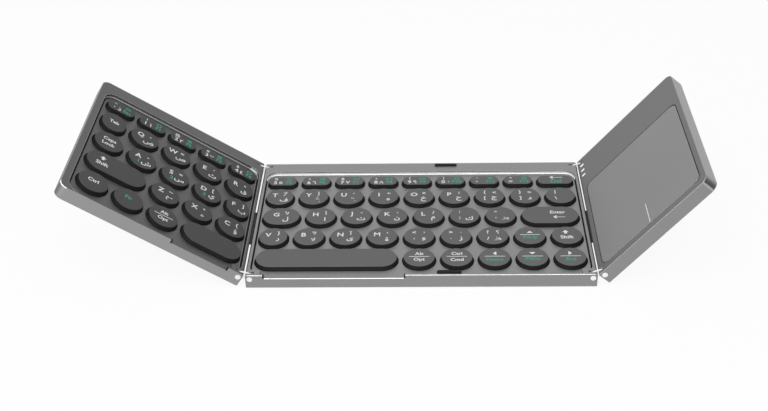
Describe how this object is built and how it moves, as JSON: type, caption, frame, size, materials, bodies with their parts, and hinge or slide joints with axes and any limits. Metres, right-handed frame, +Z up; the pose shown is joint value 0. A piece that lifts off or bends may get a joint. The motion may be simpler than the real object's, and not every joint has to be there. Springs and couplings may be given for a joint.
{
  "type": "folding keyboard",
  "caption": "Pocket keyboard in three hinged sections: round keys on the middle and left sections, a touchpad on the right wing, all folding flat on two-pin links.",
  "frame": {"origin": "centre of the middle section's underside; the rubber feet stand 0.5 mm proud of it", "axes": "+X to the user's right along the middle section, +Y to the back, away from the user, +Z up out of the keys"},
  "size_m": [0.2672, 0.09, 0.0535],
  "materials": {
    "deck_aluminium": "fine matt anodised grey",
    "left_deck_aluminium": "fine matt anodised grey",
    "cover_aluminium": "matt anodised dark grey",
    "steel": "bright satin",
    "screw_steel": "satin",
    "contact_film": "printed film",
    "dome_rubber": "translucent silicone",
    "scissor_plastic": "moulded natural nylon",
    "black_rubber": "matt",
    "magnet_nickel": "nickel plated",
    "flex_film": "satin polyimide cover film",
    "touchpad_surface": "fine matt",
    "green_board": "solder mask",
    "battery_foil": "laminated foil",
    "light_pipe": "translucent white",
    "key_plastic": "fine matt"
  },
  "bodies": {
    "middle": {"mid_housing": "deck_aluminium", "mid_bottom_cover": "cover_aluminium", "mid_steel_plate": "steel", "mid_contact_sheet": "contact_film", "mid_dome_sheet": "dome_rubber", "mid_scissors": "scissor_plastic", "mid_bumpers": "black_rubber", "mid_feet": "black_rubber", "mid_screws": "screw_steel", "mid_magnets": "magnet_nickel", "mid_hinge_pins": "steel"},
    "left_links": {"left_front_link": "steel", "left_rear_link": "steel", "left_flex_cable": "flex_film"},
    "left_wing": {"left_housing": "left_deck_aluminium", "left_bottom_cover": "cover_aluminium", "left_steel_plate": "steel", "left_contact_sheet": "contact_film", "left_dome_sheet": "dome_rubber", "left_scissors": "scissor_plastic", "left_screws": "screw_steel", "left_feet": "black_rubber", "left_magnet": "magnet_nickel", "left_hinge_pins": "steel"},
    "right_links": {"right_front_link": "steel", "right_rear_link": "steel", "right_flex_cable": "flex_film"},
    "right_wing": {"right_housing": "deck_aluminium", "right_bottom_cover": "cover_aluminium", "click_switches": "screw_steel", "controller_board": "green_board", "battery": "battery_foil", "charging_socket": "screw_steel", "status_lights": "light_pipe", "right_screws": "screw_steel", "right_feet": "black_rubber", "right_magnet": "magnet_nickel", "right_hinge_pins": "steel"},
    "touchpad": {"touchpad_plate": "touchpad_surface", "touchpad_sensor": "green_board"},
    "mid_number_keys_body": {"mid_number_keys": "key_plastic"},
    "backspace_key_body": {"backspace_key": "key_plastic"},
    "mid_upper_keys_body": {"mid_upper_keys": "key_plastic"},
    "mid_home_keys_body": {"mid_home_keys": "key_plastic"},
    "enter_key_body": {"enter_key": "key_plastic"},
    "mid_lower_keys_body": {"mid_lower_keys": "key_plastic"},
    "right_shift_key_body": {"right_shift_key": "key_plastic"},
    "right_space_key_body": {"right_space_key": "key_plastic"},
    "right_modifier_keys_body": {"right_modifier_keys": "key_plastic"},
    "arrow_keys_body": {"arrow_keys": "key_plastic"},
    "left_number_keys_body": {"left_number_keys": "key_plastic"},
    "tab_key_body": {"tab_key": "key_plastic"},
    "left_upper_keys_body": {"left_upper_keys": "key_plastic"},
    "caps_lock_key_body": {"caps_lock_key": "key_plastic"},
    "left_home_keys_body": {"left_home_keys": "key_plastic"},
    "left_shift_key_body": {"left_shift_key": "key_plastic"},
    "left_lower_keys_body": {"left_lower_keys": "key_plastic"},
    "left_space_key_body": {"left_space_key": "key_plastic"},
    "left_modifier_keys_body": {"left_modifier_keys": "key_plastic"}
  },
  "joints": [
    {"name": "left_inner_hinge", "type": "hinge", "parent": "middle", "child": "left_links", "pos_m": [-0.0721, 0, 0.0042], "axis": [0, 1, 0], "range_deg": [-15, 75], "deforming": ["left_flex_cable"]},
    {"name": "left_outer_hinge", "type": "hinge", "parent": "left_links", "child": "left_wing", "pos_m": [-0.07693, 0, 0.00549], "axis": [0, 1, 0], "range_deg": [-18, 72]},
    {"name": "right_inner_hinge", "type": "hinge", "parent": "middle", "child": "right_links", "pos_m": [0.0721, 0, 0.0042], "axis": [0, -1, 0], "range_deg": [-19, 71], "deforming": ["right_flex_cable"]},
    {"name": "right_outer_hinge", "type": "hinge", "parent": "right_links", "child": "right_wing", "pos_m": [0.07683, 0, 0.00583], "axis": [0, -1, 0], "range_deg": [-31, 59]},
    {"name": "touchpad_click", "type": "hinge", "parent": "right_wing", "child": "touchpad", "pos_m": [0.09484, 0.0207, 0.02877], "axis": [0.6428, 0, 0.766], "range_deg": [0, 0.3715], "stiffness_Nm_per_rad": 6},
    {"name": "mid_number_press", "type": "slide", "parent": "middle", "child": "mid_number_keys_body", "axis": [0, 0, -1], "range_m": [0, 0.0012], "stiffness_N_per_m": 3200, "deforming": ["mid_dome_sheet", "mid_scissors"]},
    {"name": "backspace_press", "type": "slide", "parent": "middle", "child": "backspace_key_body", "axis": [0, 0, -1], "range_m": [0, 0.0012], "stiffness_N_per_m": 400},
    {"name": "mid_upper_press", "type": "slide", "parent": "middle", "child": "mid_upper_keys_body", "axis": [0, 0, -1], "range_m": [0, 0.0012], "stiffness_N_per_m": 3600},
    {"name": "mid_home_press", "type": "slide", "parent": "middle", "child": "mid_home_keys_body", "axis": [0, 0, -1], "range_m": [0, 0.0012], "stiffness_N_per_m": 2800},
    {"name": "enter_press", "type": "slide", "parent": "middle", "child": "enter_key_body", "axis": [0, 0, -1], "range_m": [0, 0.0012], "stiffness_N_per_m": 400},
    {"name": "mid_lower_press", "type": "slide", "parent": "middle", "child": "mid_lower_keys_body", "axis": [0, 0, -1], "range_m": [0, 0.0012], "stiffness_N_per_m": 2800},
    {"name": "right_shift_press", "type": "slide", "parent": "middle", "child": "right_shift_key_body", "axis": [0, 0, -1], "range_m": [0, 0.0012], "stiffness_N_per_m": 400},
    {"name": "right_space_press", "type": "slide", "parent": "middle", "child": "right_space_key_body", "axis": [0, 0, -1], "range_m": [0, 0.0012], "stiffness_N_per_m": 400},
    {"name": "right_modifier_press", "type": "slide", "parent": "middle", "child": "right_modifier_keys_body", "axis": [0, 0, -1], "range_m": [0, 0.0012], "stiffness_N_per_m": 800},
    {"name": "arrow_press", "type": "slide", "parent": "middle", "child": "arrow_keys_body", "axis": [0, 0, -1], "range_m": [0, 0.0012], "stiffness_N_per_m": 1600},
    {"name": "left_number_press", "type": "slide", "parent": "left_wing", "child": "left_number_keys_body", "axis": [-0.5446, 0, -0.8387], "range_m": [0, 0.0012], "stiffness_N_per_m": 2000, "deforming": ["left_dome_sheet", "left_scissors"]},
    {"name": "tab_press", "type": "slide", "parent": "left_wing", "child": "tab_key_body", "axis": [-0.5446, 0, -0.8387], "range_m": [0, 0.0012], "stiffness_N_per_m": 400},
    {"name": "left_upper_press", "type": "slide", "parent": "left_wing", "child": "left_upper_keys_body", "axis": [-0.5446, 0, -0.8387], "range_m": [0, 0.0012], "stiffness_N_per_m": 1600},
    {"name": "caps_lock_press", "type": "slide", "parent": "left_wing", "child": "caps_lock_key_body", "axis": [-0.5446, 0, -0.8387], "range_m": [0, 0.0012], "stiffness_N_per_m": 400},
    {"name": "left_home_press", "type": "slide", "parent": "left_wing", "child": "left_home_keys_body", "axis": [-0.5446, 0, -0.8387], "range_m": [0, 0.0012], "stiffness_N_per_m": 1600},
    {"name": "left_shift_press", "type": "slide", "parent": "left_wing", "child": "left_shift_key_body", "axis": [-0.5446, 0, -0.8387], "range_m": [0, 0.0012], "stiffness_N_per_m": 400},
    {"name": "left_lower_press", "type": "slide", "parent": "left_wing", "child": "left_lower_keys_body", "axis": [-0.5446, 0, -0.8387], "range_m": [0, 0.0012], "stiffness_N_per_m": 1200},
    {"name": "left_space_press", "type": "slide", "parent": "left_wing", "child": "left_space_key_body", "axis": [-0.5446, 0, -0.8387], "range_m": [0, 0.0012], "stiffness_N_per_m": 400},
    {"name": "left_modifier_press", "type": "slide", "parent": "left_wing", "child": "left_modifier_keys_body", "axis": [-0.5446, 0, -0.8387], "range_m": [0, 0.0012], "stiffness_N_per_m": 1200}
  ]
}
